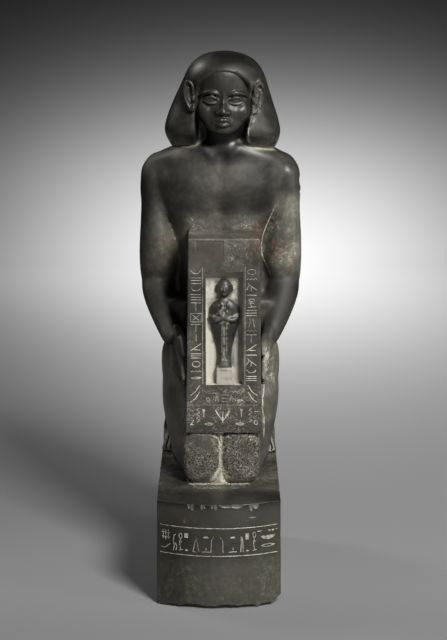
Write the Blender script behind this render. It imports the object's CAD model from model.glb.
import math
import bmesh
import bpy
import numpy as np
from mathutils import Matrix, Vector, kdtree, noise


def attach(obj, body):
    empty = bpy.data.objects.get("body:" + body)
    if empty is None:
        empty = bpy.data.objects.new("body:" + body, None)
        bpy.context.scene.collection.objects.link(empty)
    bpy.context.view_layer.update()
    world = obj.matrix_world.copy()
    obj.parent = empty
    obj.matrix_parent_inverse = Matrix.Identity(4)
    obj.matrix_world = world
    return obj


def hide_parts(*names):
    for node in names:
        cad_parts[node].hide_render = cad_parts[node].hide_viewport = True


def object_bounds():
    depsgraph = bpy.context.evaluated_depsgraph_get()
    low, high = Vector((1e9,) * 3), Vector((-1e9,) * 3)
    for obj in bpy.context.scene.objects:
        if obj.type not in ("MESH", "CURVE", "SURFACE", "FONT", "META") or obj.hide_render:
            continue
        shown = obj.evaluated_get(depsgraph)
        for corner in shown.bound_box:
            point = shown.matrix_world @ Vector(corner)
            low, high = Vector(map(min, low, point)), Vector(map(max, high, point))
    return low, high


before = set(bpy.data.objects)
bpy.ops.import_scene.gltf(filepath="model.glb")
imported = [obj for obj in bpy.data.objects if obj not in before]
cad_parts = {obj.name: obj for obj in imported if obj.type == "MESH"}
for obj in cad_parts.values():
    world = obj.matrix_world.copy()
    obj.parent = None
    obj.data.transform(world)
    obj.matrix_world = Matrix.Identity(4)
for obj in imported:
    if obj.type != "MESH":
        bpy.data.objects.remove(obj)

noise.seed_set(7)  # without it the noise would start from the clock

cadBox = [list(corner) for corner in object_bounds()]
sides = (-1, 1)
up, forward = Vector((0, 0, 1)), Vector((0, 1, 0))


def newObject(name, bm, materials=()):
    mesh = bpy.data.meshes.new(name)
    bmesh.ops.recalc_face_normals(bm, faces=bm.faces)
    bm.to_mesh(mesh)
    bm.free()
    obj = bpy.data.objects.new(name, mesh)
    bpy.context.scene.collection.objects.link(obj)
    for material in materials:
        mesh.materials.append(material)
    return obj


def applied(obj):
    graph = bpy.context.evaluated_depsgraph_get()
    mesh = bpy.data.meshes.new_from_object(obj.evaluated_get(graph))
    old = obj.data
    obj.modifiers.clear()
    obj.data = mesh
    bpy.data.meshes.remove(old)
    return obj


def remeshed(obj, voxel, rounds=0, factor=0.5):
    mod = obj.modifiers.new("remesh", "REMESH")
    mod.mode, mod.voxel_size = "VOXEL", voxel
    if rounds:
        mod = obj.modifiers.new("smooth", "SMOOTH")
        mod.factor, mod.iterations = factor, rounds
    return applied(obj)


def merged(target, other, operation="UNION", solver="MANIFOLD"):
    mod = target.modifiers.new("merge", "BOOLEAN")
    mod.object, mod.operation, mod.solver = other, operation, solver
    mod.material_mode = "TRANSFER"
    if solver == "EXACT":
        mod.use_self = True
    applied(target)
    bpy.data.objects.remove(other)


def carved(block, cutter):  # for cutters that run through themselves, as crossing strokes do
    merged(block, cutter, "DIFFERENCE", "EXACT")


def spread(rows, steps):  # a smooth run of rows through the given ones
    rows = np.array(rows, dtype=float)
    ends = np.vstack([2 * rows[0] - rows[1], rows, 2 * rows[-1] - rows[-2]])
    run = []
    for a, b, c, d in zip(ends, ends[1:], ends[2:], ends[3:]):
        for t in np.arange(steps) / steps:
            bend = 2 * a - 5 * b + 4 * c - d + t * (3 * (b - c) + d - a)
            run.append(b + 0.5 * t * (c - a + t * bend))
    return run + [rows[-1]]


def loft(bm, rows, count=28, axis=None, steps=3):  # rows of x, y, z, half width, half depth, squareness
    rows = spread([(*row, 2)[:6] for row in rows], steps)
    middles = [Vector(row[:3]) for row in rows]
    before = None
    for i, row in enumerate(rows):
        line = axis or (middles[min(i + 1, len(rows) - 1)] - middles[max(i - 1, 0)]).normalized()
        wide = Vector((1, 0, 0)) if abs(line.x) < 0.75 else Vector((0, 0, 1))
        wide = (wide - line * wide.dot(line)).normalized()
        deep = line.cross(wide)
        ring = bmesh.ops.create_circle(bm, segments=count, radius=1)["verts"]
        power = 2 / max(row[5], 0.5)
        for vert in ring:
            across = math.copysign(abs(vert.co.x) ** power, vert.co.x) * row[3]
            along = math.copysign(abs(vert.co.y) ** power, vert.co.y) * row[4]
            vert.co = middles[i] + wide * across + deep * along
        edges = [edge for edge in {e for v in ring for e in v.link_edges} if not edge.link_faces]
        if before is None:
            bmesh.ops.contextual_create(bm, geom=edges)
        else:
            bmesh.ops.bridge_loops(bm, edges=before + edges)
        before = edges
    bmesh.ops.contextual_create(bm, geom=before)


def rotation(angle, axis):
    return Matrix.Rotation(angle, 3, axis)


def egg(bm, middle, size, turn=(0, 0, 0), detail=3):
    made = bmesh.ops.create_icosphere(bm, subdivisions=detail, radius=1)["verts"]
    bmesh.ops.scale(bm, vec=size, verts=made)
    for angle, axis in zip(turn, "XYZ"):
        bmesh.ops.rotate(bm, verts=made, matrix=rotation(angle, axis))
    bmesh.ops.translate(bm, vec=middle, verts=made)
    return made


def strand(bm, points, radii, count=10, steps=4):  # a round rod along a smooth line, its radius changing
    rows = [(*point, radius, radius) for point, radius in zip(points, radii)]
    loft(bm, rows, count=count, steps=steps)


def groove(bm, points, radius):  # a thin rod from point to point, which cuts a stroke
    strand(bm, points, [radius] * len(points), count=6, steps=1)


def boxed(bm, halfBottom, halfTop, front, back, bottom, top, middle=0.0):
    made = bmesh.ops.create_cube(bm, size=2)["verts"]
    for vert in made:
        half = halfTop if vert.co.z > 0 else halfBottom
        y = back if vert.co.y > 0 else front
        z = top if vert.co.z > 0 else bottom
        vert.co = Vector((middle + vert.co.x * half, y, z))
    return made


def eased(bm, wear, sharp=0.5):  # rounds the edges that turn by more than the sharp angle
    bmesh.ops.recalc_face_normals(bm, faces=bm.faces)
    edges = [edge for edge in bm.edges if edge.calc_face_angle(0) > sharp]
    bmesh.ops.bevel(bm, geom=edges, offset=wear, segments=3, affect="EDGES", profile=0.5, material=-1)


def gridded(bm, step, low, high):  # cuts the faces up, so that small unevenness has somewhere to go
    for axis in range(3):
        for place in np.arange(low[axis] + step / 2, high[axis], step):
            normal = [0, 0, 0]
            normal[axis] = 1
            at = [0, 0, 0]
            at[axis] = place
            geometry = bm.verts[:] + bm.edges[:] + bm.faces[:]
            bmesh.ops.bisect_plane(bm, geom=geometry, plane_co=at, plane_no=normal)


def uneven(obj, height, scale):  # the slight waviness of a surface ground by hand
    for vert in obj.data.vertices:
        vert.co += noise.noise_vector(vert.co / scale) * height


def vertexValues(obj, name="co"):
    values = np.empty(len(obj.data.vertices) * 3)
    obj.data.vertices.foreach_get(name, values)
    return values.reshape(-1, 3)


def moveVertices(obj, places):
    obj.data.vertices.foreach_set("co", places.ravel())
    obj.data.update()


def relief(obj, features):  # raises (or, below zero, sinks) the surface along soft lines
    places = vertexValues(obj)
    push = np.zeros(len(places))
    for height, width, points in features:
        points = np.array(spread(points, 5))
        away = np.full(len(places), np.inf)
        for a, b in zip(points, points[1:]):
            line = b - a
            t = np.clip((places - a) @ line / max(line @ line, 1e-9), 0, 1)
            away = np.minimum(away, np.linalg.norm(places - a - t[:, None] * line, axis=1))
        push += height * np.exp(-((away / width) ** 2))
    moveVertices(obj, places + vertexValues(obj, "normal") * push[:, None])


def mirrored(features):  # the same soft lines on both sides
    both = []
    for height, width, points in features:
        for side in sides:
            both.append((height, width, [(side * x, y, z) for x, y, z in points]))
    return both


def shifted(rows, x=0, y=0, z=0, side=1):  # rows moved to their place, on the left with side -1
    return [(x + side * row[0], y + row[1], z + row[2], *row[3:]) for row in rows]


class Wire:  # one output socket, which arithmetic turns into nodes
    def __init__(self, tree, socket):
        self.tree, self.socket = tree, socket

    def add(self, kind, settings=None, inputs=None, out=0):
        node = self.tree.nodes.new("ShaderNode" + kind)
        for name, value in (settings or {}).items():
            setattr(node, name, value)
        for name, value in (inputs or {}).items():
            socket = node.inputs[name]
            if isinstance(value, Wire):
                self.tree.links.new(value.socket, socket)
            else:
                socket.default_value = value
        return Wire(self.tree, node.outputs[out])

    def math(self, operation, *others):
        return self.add("Math", {"operation": operation}, dict(enumerate(others)))

    def __add__(self, other):
        return self.math("ADD", self, other)

    def __radd__(self, other):
        return self.math("ADD", other, self)

    def __sub__(self, other):
        return self.math("SUBTRACT", self, other)

    def __rsub__(self, other):
        return self.math("SUBTRACT", other, self)

    def __mul__(self, other):
        return self.math("MULTIPLY", self, other)

    def __rmul__(self, other):
        return self.math("MULTIPLY", other, self)

    def __truediv__(self, other):
        return self.math("DIVIDE", self, other)

    def __rtruediv__(self, other):
        return self.math("DIVIDE", other, self)

    def absolute(self):
        return self.math("ABSOLUTE", self)

    def exponent(self):
        return self.math("EXPONENT", self)

    def most(self, other):
        return self.math("MAXIMUM", self, other)

    def least(self, other):
        return self.math("MINIMUM", self, other)

    def ramp(self, low, high):  # 0 up to low, 1 from high, smooth between
        settings = {"interpolation_type": "SMOOTHSTEP"}
        return self.add("MapRange", settings, {"Value": self, "From Min": low, "From Max": high})

    def between(self, low, high, soft):
        return self.ramp(low - soft, low + soft) * (1 - self.ramp(high - soft, high + soft))

    def noise(self, scale, detail=3.0, roughness=0.5, warp=0.0):
        inputs = {"Vector": self, "Scale": scale, "Detail": detail, "Roughness": roughness}
        return self.add("TexNoise", {}, {**inputs, "Distortion": warp})

    def stretched(self, size):
        return self.add("VectorMath", {"operation": "MULTIPLY"}, {0: self, 1: size})

    def blended(self, first, second, amount):  # mixes two colours
        return self.add("Mix", {"data_type": "RGBA"}, {0: amount, 6: first, 7: second}, 2)

    def toward(self, other, amount):
        return self.blended(self, other, amount)

    def scaled(self, amount):
        return self.add("VectorMath", {"operation": "SCALE"}, {0: self, "Scale": amount})

    def parts(self):  # the x, y and z of a vector
        split = self.add("SeparateXYZ", {}, {0: self})
        return [Wire(self.tree, output) for output in split.socket.node.outputs]


def material(name):
    made = bpy.data.materials.new(name)
    made.use_nodes = True
    return made, made.node_tree.nodes["Principled BSDF"], Wire(made.node_tree, None)


def fed(shader, **wires):
    for name, wire in wires.items():
        wire.tree.links.new(wire.socket, shader.inputs[name.replace("_", " ")])


stone = {
    "dark": (0.026, 0.0245, 0.020, 1),
    "mid": (0.076, 0.071, 0.056, 1),
    "pale": (0.40, 0.375, 0.31, 1),
    "residue": (0.56, 0.53, 0.42, 1),
    "dull": (0.092, 0.082, 0.062, 1),
    "pit": (0.006, 0.006, 0.005, 1),
    "green": (0.085, 0.088, 0.058, 1),
    "rust": (0.19, 0.10, 0.06, 1),
    "cream": (0.68, 0.64, 0.55, 1),
    "filling": (0.62, 0.585, 0.49, 1),
    "smooth": (0.047, 0.040, 0.036, 1),
    "polish": 0.40, "worn": 0.78, "shine": 0.42,
    # scale, detail and roughness of the patterns, and how warped they are
    "patterns": {
        "cloud": (11, 4, 0.55), "blotch": (44, 5, 0.62), "mottle": (230, 4, 0.65), "fleck": (540, 3, 0.6),
        "grit": (1000, 2, 0.55), "grain": (1700, 2, 0.5), "patch": (100, 3, 0.6), "stain": (150, 4, 0.7),
        "veins": (115, 4, 0.55, 0.3),
    },
    "stretched": {"hole": ((1, 1, 1.25), (560, 3, 0.6)), "streak": ((190, 190, 80), (1, 4, 0.65, 0.8))},
    # how much of each colour there is where it is strongest
    "amounts": {
        "green": 0.9, "dull": 0.75, "rust": 0.6, "speck": 0.72, "pit": 0.85, "scratch": 0.2, "vein": 0.5,
        "rubbed": 0.5, "edge": 0.8, "dust": 0.8, "niche": 0.69,
    },
    # small zones: the reach along each axis and its softness
    "spots": {
        "kneeWear": {"x": (-29, -9, 5), "y": (-60, -30, 3), "z": (132, 150, 6)},
        "kneeLine": {"x": (-29, 27, 2), "y": (-43.2, -34.5, 0.4), "z": (100.1, 100.9, 0.3)},
        "kneeTop": {"x": (-28, -1, 2), "y": (-60, -26, 2)},
        "parting": {"y": (-60, -26, 2), "z": (101.4, 151, 0.6)},
        "edge": {"x": (37.4, 38.8, 0.5), "y": (-44, 20, 2), "z": (150, 232, 4)},
        "fold": {"y": (-24, 36, 3), "z": (289, 354, 5)},
        "lobe": {"y": (-30, 7, 2), "z": (411, 446, 2)},
        "seam": {"x": (39.2, 60, 0.3), "y": (-44, 20, 2), "z": (140, 226, 4)},
        "branch": {"y": (-44, 20, 2), "z": (194, 226, 3)},
    },
    # pale lines that climb the surface: x at the foot, the bends as shift, from and to, then the fading
    "lines": {
        "fold": (48, [(-9, 284, 312), (16, 316, 372)], (0.2, 0.9)),
        "lobe": (29.1, [(-4, 411, 423), (5, 430, 448)], (0.5, 2.0)),
        "seam": (40.8, [(3, 176, 196)], (0.2, 1.0)),
        "branch": (51, [(-9, 192, 230)], (0.2, 0.9)),
    },
    # the dust between the knees, in the same way: the middle, the half width and the softness
    "parting": {
        "middle": (-1.0, [(1.2, 101, 118), (-1.6, 142, 151)]),
        "half": (7.3, [(-5.6, 99, 121), (3.0, 140, 151)]),
        "soft": (5.1, [(-4.5, 100, 122)]),
    },
    # where the skin is rough and speckled: strength, then the reach in x, y and z, then softness
    "roughPlaces": [
        (1.0, (-50, 50), (-60, -28), (104, 152), 3),
        (0.9, (-34, 40), (-60, -42), (150, 197), 3),
        (0.6, (2, 40), (-60, -42), (306, 333), 3),
        (0.42, (-34, 40), (-60, -42), (190, 310), 4),
        (1.3, (-26, 22), (-56, -38), (98, 103), 4),
        (0.7, (27, 40), (-20, 6), (444, 476), 2),
        (0.3, (34, 60), (-45, 40), (150, 232), 4),
        (0.42, (40, 80), (-45, 34), (290, 345), 14),
        (0.34, (-80, -42), (-45, 34), (286, 330), 14),
        (0.4, (-35, 42), (-45, 24), (325, 350), 10),
        (0.3, (-16, 18), (-45, 24), (345, 366), 9),
        (0.5, (20, 56), (-30, 30), (408, 424), 6),
        (0.42, (36, 60), (-40, 90), (96, 125), 5),
        (0.45, (-60, -34), (-40, 60), (96, 103), 5),
    ],
    # darker or paler than the rest: factor, reach and softness
    "shadePlaces": [
        (0.4, (-8, 45), (-40, 60), (486, 503), 6),
        (0.75, (-60, -32), (-10, 60), (432, 484), 6),
        (0.3, (-27, -8), (4, 60), (408, 446), 3),
        (0.5, (-28, -17), (-30, 12), (404, 448), 2),
        (0.35, (16, 25.4), (4, 60), (404, 446), 2),
        (0.5, (-16, 20), (-60, 20), (397, 410), 4),
        (0.42, (-60, 70), (-60, 90), (418, 510), 6),
        (1.7, (22, 60), (-60, 60), (414, 446), 8),
        (0.25, (-22, 26), (-60, 40), (404, 424), 5),
        (0.5, (-80, -26), (-20, 80), (350, 404), 14),
        (0.36, (26, 50), (-20, 80), (350, 400), 6),
        (2.2, (-60, -30), (-60, 60), (404, 424), 5),
        (6, (-75, -44), (48, 92), (101, 120), 3),
        (2.7, (54, 80), (-20, 80), (292, 366), 10),
        (0.36, (42, 80), (-20, 80), (225, 282), 8),
        (1.5, (-60, -47), (-60, 45), (288, 368), 7),
        (0.7, (-85, -67), (-60, 80), (230, 385), 6),
        (2.0, (27, 40), (-20, 6), (444, 476), 2),
        (0.4, (-60, 60), (-110, -60), (99.0, 100.1), 0.3),
        (2.0, (-32, 2), (-60, 30), (333, 350), 6),
        (1.6, (6, 40), (-60, 30), (333, 350), 6),
        (1.75, (36, 60), (-45, 60), (150, 235), 4),
        (1.9, (-60, -34), (-45, 60), (120, 215), 8),
        (0.55, (-60, 60), (-110, -64), (96, 106), 3),
        (0.7, (-60, 60), (-110, -60), (45, 104), 8),
        (0.42, (-60, -28), (-110, -40), (-5, 80), 16),
        (1.3, (-2, 26), (-110, -90), (82, 99), 7),
        (1.2, (-10, 24), (-110, -90), (14, 48), 12),
        (0.25, (19.8, 22), (-42, -32), (198, 303), 1),
        (0.45, (-44, -30), (-45, 10), (98, 130), 4),
        (0.62, (-32, 39), (-60, -42), (150, 159), 3),
        (0.9, (-32, 39), (-60, -42), (158, 196), 3),
        (0.58, (-15, 22), (-42.2, -20), (212, 303), 2),
    ],
    # duller than the rest
    "mattePlaces": [
        (1.0, (42, 80), (-30, 80), (220, 300), 12),
        (0.8, (-80, -42), (-30, 80), (225, 300), 12),
        (0.6, (-60, 60), (-60, 30), (95, 240), 10),
        (1.0, (-85, -30), (-20, 80), (380, 406), 7),
        (0.5, (-60, 60), (-110, -50), (-5, 46), 8),
        (0.6, (-8, 34), (-60, 4), (472, 490), 5),
        (1.2, (-28, -17), (-30, 12), (404, 448), 2),
    ],
    # ground more evenly
    "calmPlaces": [
        (0.75, (-70, 70), (-120, -60), (0, 99), 4),
    ],
    # how much of the pale filling is left in the strokes
    "fillPlaces": [
        (0.5, (-40, 45), (-50, -40), (236, 315), 5),
        (0.6, (-16, 20), (-50, -40), (180, 195), 2),
        (0.8, (-60, 60), (-110, -60), (45, 85), 3),
        (0.85, (-40, 45), (-50, -40), (150, 175), 2),
        (0.35, (-40, 45), (-50, -40), (175, 179.6), 0.8),
    ],
    # covered with fine pale lines
    "veinPlaces": [
        (0.7, (40, 54), (-40, 30), (185, 232), 3),
        (0.7, (-18, 26), (-50, -42), (180.5, 195), 1.5),
        (0.28, (-52, -28), (-110, -60), (8, 46), 5),
        (0.2, (38, 54), (-110, -60), (8, 50), 5),
        (0.3, (30, 50), (-40, 60), (98, 135), 5),
    ],
    # where pale dust is left in the hollows
    "dustPlaces": [
        (1.0, (14, 58), (-40, 30), (403, 418), 2),
        (0.8, (18, 32), (-40, 12), (414, 447), 2),
        (0.7, (-52, -18), (-40, 30), (403, 418), 2),
        (0.9, (34, 75), (44, 92), (101, 125), 2),
        (0.6, (-75, -44), (44, 92), (101, 125), 2),
        (0.8, (-50, 45), (-60, -20), (96, 103), 2),
        (0.6, (-20, 24), (-40, -20), (205, 300), 3),
        (0.25, (-40, 45), (-46, -30), (325, 340), 3),
    ],
    "rustPlaces": [
        (0.7, (44, 64), (-30, 40), (300, 332), 7),
        (0.8, (26, 42), (-50, 30), (318, 346), 5),
        (0.5, (-36, -24), (-106, -60), (84, 92), 3),
        (0.4, (-25, 0), (-50, -40), (312, 335), 5),
        (0.25, (-78, -40), (0, 34), (290, 330), 8),
    ],
    # paler and greener, with faint upright streaks
    "streakyPlaces": [
        (1.0, (-54, -20), (-110, -60), (4, 44), 8),
        (0.8, (30, 58), (-110, -60), (4, 62), 8),
        (0.5, (-60, 60), (-110, -60), (-5, 30), 8),
    ],
}
surfaceMarks = (  # what each point of the mesh tells the shader
    "crease", "niche", "rough", "shade", "dust", "rust", "streaky", "matte", "fill", "vein", "rubbed", "calm",
)


def soften(values, low, high):
    t = np.clip((values - low) / (high - low), 0, 1)
    return t * t * (3 - 2 * t)


def boxMask(places, spans, soft):  # 1 inside a soft-edged box
    mask = np.ones(len(places))
    for axis, (low, high) in enumerate(spans):
        along = places[:, axis]
        mask *= soften(along, low - soft, low + soft) * (1 - soften(along, high - soft, high + soft))
    return mask


def strongest(places, zones):
    masks = [strength * boxMask(places, spans, soft) for strength, *spans, soft in zones]
    return np.max(masks, axis=0)


def shading(places, zones):
    masks = [1 + (factor - 1) * boxMask(places, spans, soft) for factor, *spans, soft in zones]
    return np.prod(masks, axis=0)


def stoneMaterial(name, pigment=None, amount=1.0):
    made, shader, start = material(name)
    place = start.add("TexCoord", out=3)
    x, y, z = (part * 1000 for part in place.parts())  # in millimetres, as the zones are
    mark = {name: start.add("Attribute", {"attribute_name": name}, out=2) for name in surfaceMarks}
    cloud, blotch, mottle, fleck, grit, grain, patch, stain, veins = (
        place.noise(*how) for how in stone["patterns"].values()
    )
    hole, streak = (place.stretched(size).noise(*how) for size, how in stone["stretched"].values())

    def within(name):  # 1 inside a small zone
        mask = 1
        for axis, span in stone["spots"][name].items():
            mask = {"x": x, "y": y, "z": z}[axis].between(*span) * mask
        return mask

    def climbing(value, bends):
        for shift, low, high in bends:
            value = z.ramp(low, high) * shift + value
        return value

    def paleLine(name, sway=0):
        foot, bends, fading = stone["lines"][name]
        away = (x - climbing(foot, bends) - sway).absolute()
        return (1 - away.ramp(*fading)) * within(name)

    rough = (mark["rough"] + (blotch - 0.5) * 1.1 + (mottle - 0.5) * 0.8).ramp(0.28, 0.85)
    rough = rough * (1 - within("kneeWear") * 0.65)  # the left knee's worn top
    # dust: in the hollows, between the knees down to a wide foot, under them and along the left one's top
    grainy = 0.45 + 0.7 * fleck.ramp(0.4, 0.6)
    broken = mottle.ramp(0.38, 0.56)
    gap = stone["parting"]
    away = (x - climbing(*gap["middle"])).absolute() - climbing(*gap["half"])
    parting = (1 - away.ramp(-0.9, climbing(*gap["soft"]))) * within("parting")
    kneeLine = within("kneeLine") * fleck.ramp(0.4, 0.56)
    kneeRim = (z - 149.4 + 5.5 * x.ramp(-12, 2)).absolute()
    kneeTop = within("kneeTop") * (1 - kneeRim.ramp(0.6, 1.8)) * 0.9
    dust = (mark["crease"] * mark["dust"] * (0.2 + 1.3 * mottle)).least(1.0)
    dust = dust.most(parting * grainy).most(kneeLine * 0.9).most(kneeTop * grainy)
    # bright lines: the fold of the right arm, the inner edge of the right lobe, cracks on the right thigh
    dust = dust.most(paleLine("fold") * (0.12 + 0.8 * broken))
    dust = dust.most(paleLine("lobe") * (0.3 + 0.7 * fleck.ramp(0.38, 0.54))).least(1.0)
    cracks = paleLine("seam", (blotch - 0.5) * 9).most(paleLine("branch", (mottle - 0.5) * -6))
    dust = dust.most(cracks * (0.15 + 0.75 * broken))
    vein = (1 - (veins - 0.5).absolute().ramp(0.006, 0.032)) * mark["vein"] * broken
    # pale specks and dark pits of the rough skin
    dense = (mottle * 0.6 + blotch * 0.5).ramp(0.42, 0.64) * (0.2 + 0.8 * patch.ramp(0.43, 0.57))
    speck = (fleck * 0.5 + grit * 0.5).ramp(0.5, 0.57) * rough * dense
    pit = hole.ramp(0.48, 0.56) * rough * (1 - speck)
    tone = (cloud * 0.55 + blotch * 0.45 + mottle * 0.2).ramp(0.42, 0.8)
    tone = tone + (0.5 + 0.3 * (cloud - 0.5) - tone) * mark["calm"]
    scratch = (streak * 0.5 + fleck * 0.5).ramp(0.53, 0.62) * mottle.ramp(0.45, 0.6) * mark["streaky"]
    stained = mark["rust"] * stain.ramp(0.47, 0.62)
    amounts = stone["amounts"]
    colour = start.blended(stone["dark"], stone["mid"], tone)
    greened = mark["streaky"] * (streak * 0.7 + mottle * 0.5).ramp(0.45, 0.85)
    colour = colour.toward(stone["green"], greened * amounts["green"])
    colour = colour.toward(stone["dull"], rough * amounts["dull"])
    colour = colour.toward(stone["rust"], stained * amounts["rust"])
    colour = colour.toward(stone["pale"], speck * amounts["speck"])
    colour = colour.toward(stone["pit"], pit * amounts["pit"])
    rubbed = mark["rubbed"] * mottle.ramp(0.3, 0.6) * amounts["rubbed"]
    fine = (scratch * amounts["scratch"]).most(vein * amounts["vein"]).most(rubbed)
    colour = colour.toward(stone["pale"], fine)
    grains = (0.8 + 0.4 * grain) * (0.7 + 0.6 * mottle)
    colour = colour.scaled(mark["shade"] * grains * (1 + rough * (blotch - 0.45) * 1.2))
    colour = colour.toward(stone["pit"], within("edge") * amounts["edge"])
    colour = colour.toward(stone["residue"], dust * amounts["dust"])
    cream = (1.2 * blotch + 0.95 * mottle - 0.4).least(amounts["niche"])
    colour = colour.toward(stone["cream"], mark["niche"] * cream)
    if pigment:
        kept = (blotch * 0.5 + mottle * 0.7 + fleck * 0.5).ramp(0.55, 1.0)
        colour = colour.toward(pigment, kept * mark["fill"] * amount)
    gloss = stone["polish"] + rough * (stone["worn"] - stone["polish"]) + 0.3 * (blotch - 0.5)
    gloss = gloss + 0.15 * (mottle - 0.5) + 0.22 * mark["matte"] + dust * 0.3 + mark["niche"] * 0.3
    bump = grain * 0.1 + fleck * rough * 1.3 - pit * 1.5 + blotch * 0.5 + mottle * 0.2 + streak * 0.1
    normal = start.add("Bump", {}, {"Strength": 0.35, "Distance": 0.0006, "Height": bump})
    fed(shader, Base_Color=colour, Roughness=gloss, Normal=normal)
    shader.inputs["Specular IOR Level"].default_value = stone["shine"]
    return made


stoneSkin = stoneMaterial("stoneSkin")
stoneFilled = stoneMaterial("stoneFilled", stone["filling"])  # in the strokes
stoneFresh = stoneMaterial("stoneFresh", stone["pale"], amount=0.22)  # where the edge has chipped
stoneSmooth = stoneMaterial("stoneSmooth", stone["smooth"], amount=0.6)  # the panel over the niche
stoneDeep = stoneMaterial("stoneDeep", stone["pit"], amount=1.6)  # between the toes


plinth = {
    "half": 56.7, "front": -105, "back": 105, "height": 100.5, "bulge": 16, "middle": -1.5, "flare": 0.014,
    "wear": 1.3, "grid": (5.0, (-60, -106, 2), (60, 106, 100)), "waviness": (0.22, 23),
    "lines": (78, 51.5), "lineReach": 56, "strokeRadius": 0.42,
    "corner": {"size": (44, 90, 44), "turns": (-45, -13), "place": (11, 21.5, -12.7), "waviness": (1.4, 7)},
    # along the top front edge: middle, half width and height
    "frontChips": [
        (-28.6, 2.6, 3.8), (-25.6, 2.2, 5.4), (-16.6, 1.7, 4.6), (-14.2, 1.4, 3.2), (-7.2, 2.0, 3.4),
        (-4.2, 2.2, 5.2), (8, 9, 2.4), (17, 8.6, 3.0), (28.4, 2.2, 6.2), (33, 4, 4.4),
    ],
    "frontFlakes": [  # below that edge: across and up, out, size
        (32.5, 87.6, 0.9, (5, 1.9, 1.5)), (-31.5, 83.5, 0.9, (1.6, 1.3, 1.4)),
        (-23, 85, 0.8, (0.9, 1.2, 0.9)),
    ],
    "bottomChips": [  # middle, half width and height
        (6, 14, 5.0), (24, 11, 4.2), (-43, 9, 2.8), (-24, 14, 4.8), (-9, 8, 3.4), (42, 9, 3.6),
    ],
    "sideChips": [  # along the top: x, y and half length
        (-56.5, -40, 3), (55.5, 20, 3.4), (-57, 60, 2.6), (54.5, -62, 2), (55, 84, 4),
    ],
}
plinthRadius = (plinth["half"] ** 2 + plinth["bulge"] ** 2) / (2 * plinth["bulge"])


def onPlinth(across, level, out=0.0):  # a point on the bowed front, across it and up it
    angle = across / plinthRadius
    reach = plinthRadius + out
    flare = 1 + plinth["flare"] * (1 - level / plinth["height"])
    x = plinth["middle"] + math.sin(angle) * reach * flare
    return (x, plinth["front"] + plinthRadius - math.cos(angle) * reach, level)


def plinthBody():
    bm = bmesh.new()
    reach = math.asin(plinth["half"] / plinthRadius)
    outline = []
    for angle in reach * (np.arange(33) / 16 - 1):
        y = plinth["front"] + plinthRadius * (1 - math.cos(angle))
        outline.append(bm.verts.new((math.sin(angle) * plinthRadius, y, 0)))
    outline += [bm.verts.new((side * plinth["half"], plinth["back"], 0)) for side in (1, -1)]
    face = bm.faces.new(outline)
    top = bmesh.ops.extrude_face_region(bm, geom=[face])["geom"]
    top = [item for item in top if isinstance(item, bmesh.types.BMVert)]
    bmesh.ops.translate(bm, vec=(0, 0, plinth["height"]), verts=top)
    for vert in bm.verts:
        widened = 1 + plinth["flare"] * (1 - vert.co.z / plinth["height"])
        vert.co.x = plinth["middle"] + vert.co.x * widened
    eased(bm, plinth["wear"])
    gridded(bm, *plinth["grid"])
    obj = newObject("plinth", bm, [stoneSkin])
    uneven(obj, *plinth["waviness"])
    return obj


def chip(bm, middle, size):  # an uneven hollow where a flake has come off
    for vert in egg(bm, middle, size):
        coarse, fine = noise.noise_vector(vert.co / 5), noise.noise_vector(vert.co / 1.7)
        vert.co += coarse * 0.16 * min(size) + fine * 0.12


def plinthDamage():  # the lost lower corner and the chips along the edges
    bm = bmesh.new()
    corner = plinth["corner"]
    bmesh.ops.create_cube(bm, size=1)
    bmesh.ops.subdivide_edges(bm, edges=bm.edges[:], cuts=6, use_grid_fill=True)
    made = bm.verts[:]
    bmesh.ops.scale(bm, vec=corner["size"], verts=made)
    for angle, axis in zip(corner["turns"], "YZ"):
        bmesh.ops.rotate(bm, verts=made, matrix=rotation(math.radians(angle), axis))
    x, y, z = corner["place"]
    bmesh.ops.translate(bm, vec=(plinth["middle"] + plinth["half"] + x, plinth["front"] + y, z), verts=made)
    height, scale = corner["waviness"]
    for vert in made:
        vert.co += noise.noise_vector(vert.co / scale) * height
    for x, width, height in plinth["bottomChips"]:
        chip(bm, (x, plinth["front"] + 4 + 0.004 * x * x, 0), (width, 18, height))
    for x, y, size in plinth["sideChips"]:
        chip(bm, (x, y, plinth["height"]), (1.6, size, 1.5))
    return newObject("plinthDamage", bm, [stoneSkin])


def plinthChips():  # the paler chips along the top front edge
    bm = bmesh.new()
    for x, width, height in plinth["frontChips"]:
        y = plinth["front"] + 0.0049 * (x + 1.5) ** 2 - 0.9
        chip(bm, (x, y, plinth["height"] - 1), (width, 1.7, height))
    for across, level, out, size in plinth["frontFlakes"]:
        chip(bm, onPlinth(across, level, out), size)
    return newObject("plinthChips", bm, [stoneFresh])


def arc(x, z, radiusX, radiusZ, start, end, count=8):
    angles = [math.radians(start + (end - start) * i / count) for i in range(count + 1)]
    return [(x + radiusX * math.cos(a), z + radiusZ * math.sin(a)) for a in angles]


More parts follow.
